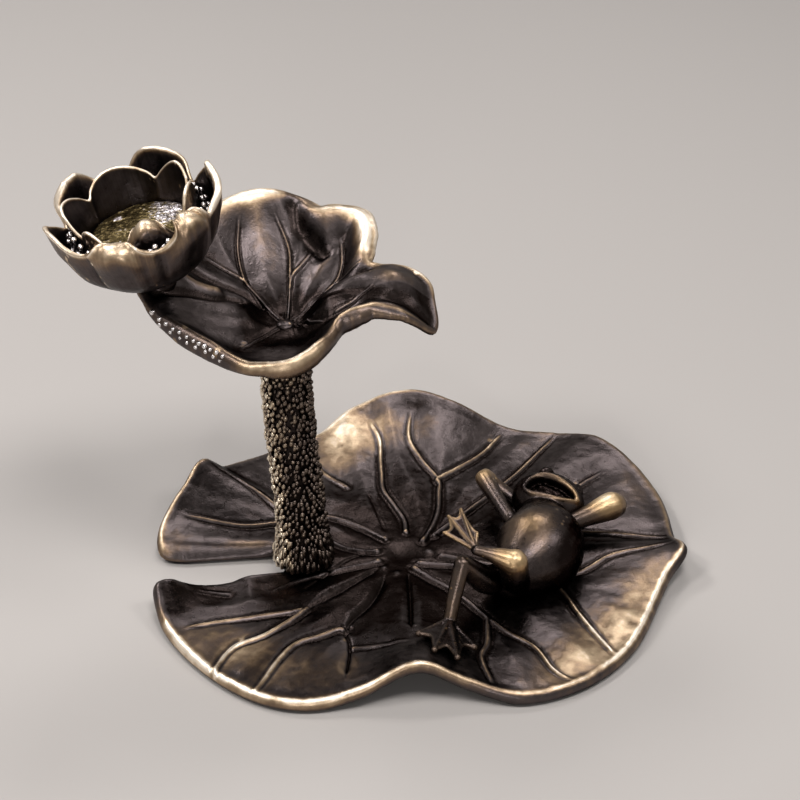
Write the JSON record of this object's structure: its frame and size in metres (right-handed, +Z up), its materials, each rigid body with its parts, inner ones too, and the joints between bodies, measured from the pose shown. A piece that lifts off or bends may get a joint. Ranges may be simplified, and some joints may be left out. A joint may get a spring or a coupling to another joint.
{
  "type": "backflow incense burner",
  "caption": "Backflow incense burner: a lotus flower cup on a cupped leaf with a pouring tongue, on a knobbly stalk over a leaf tray where a frog lies on its back.",
  "frame": {"origin": "on the table, under the point where the tray's veins meet", "axes": "+Z up, +X towards the frog's side of the tray, -Y towards the viewer of the picture"},
  "size_m": [0.1235, 0.102, 0.0877],
  "materials": {
    "dark_brass": "dark brown-black patina, polished pale on rims and raised veins",
    "rubbed_brass": "dark patina rubbed to dull gold on the high places",
    "bare_brass": "rough yellow-olive, as cast",
    "steel": "plain screw steel"
  },
  "bodies": {
    "root": {"tray_leaf": "dark_brass", "stalk": "dark_brass", "upper_leaf": "dark_brass", "frog_body": "rubbed_brass", "frog_arm_far": "rubbed_brass", "frog_arm_near": "rubbed_brass", "frog_leg_standing": "dark_brass", "frog_leg_crossed": "rubbed_brass", "flower_cup": "dark_brass", "inner_petals": "dark_brass", "stamen_ring": "dark_brass", "cone_plate": "bare_brass", "flower_screw": "steel", "stalk_screw": "steel", "frog_screw": "steel", "leaf_screw": "dark_brass"}
  },
  "joints": []
}
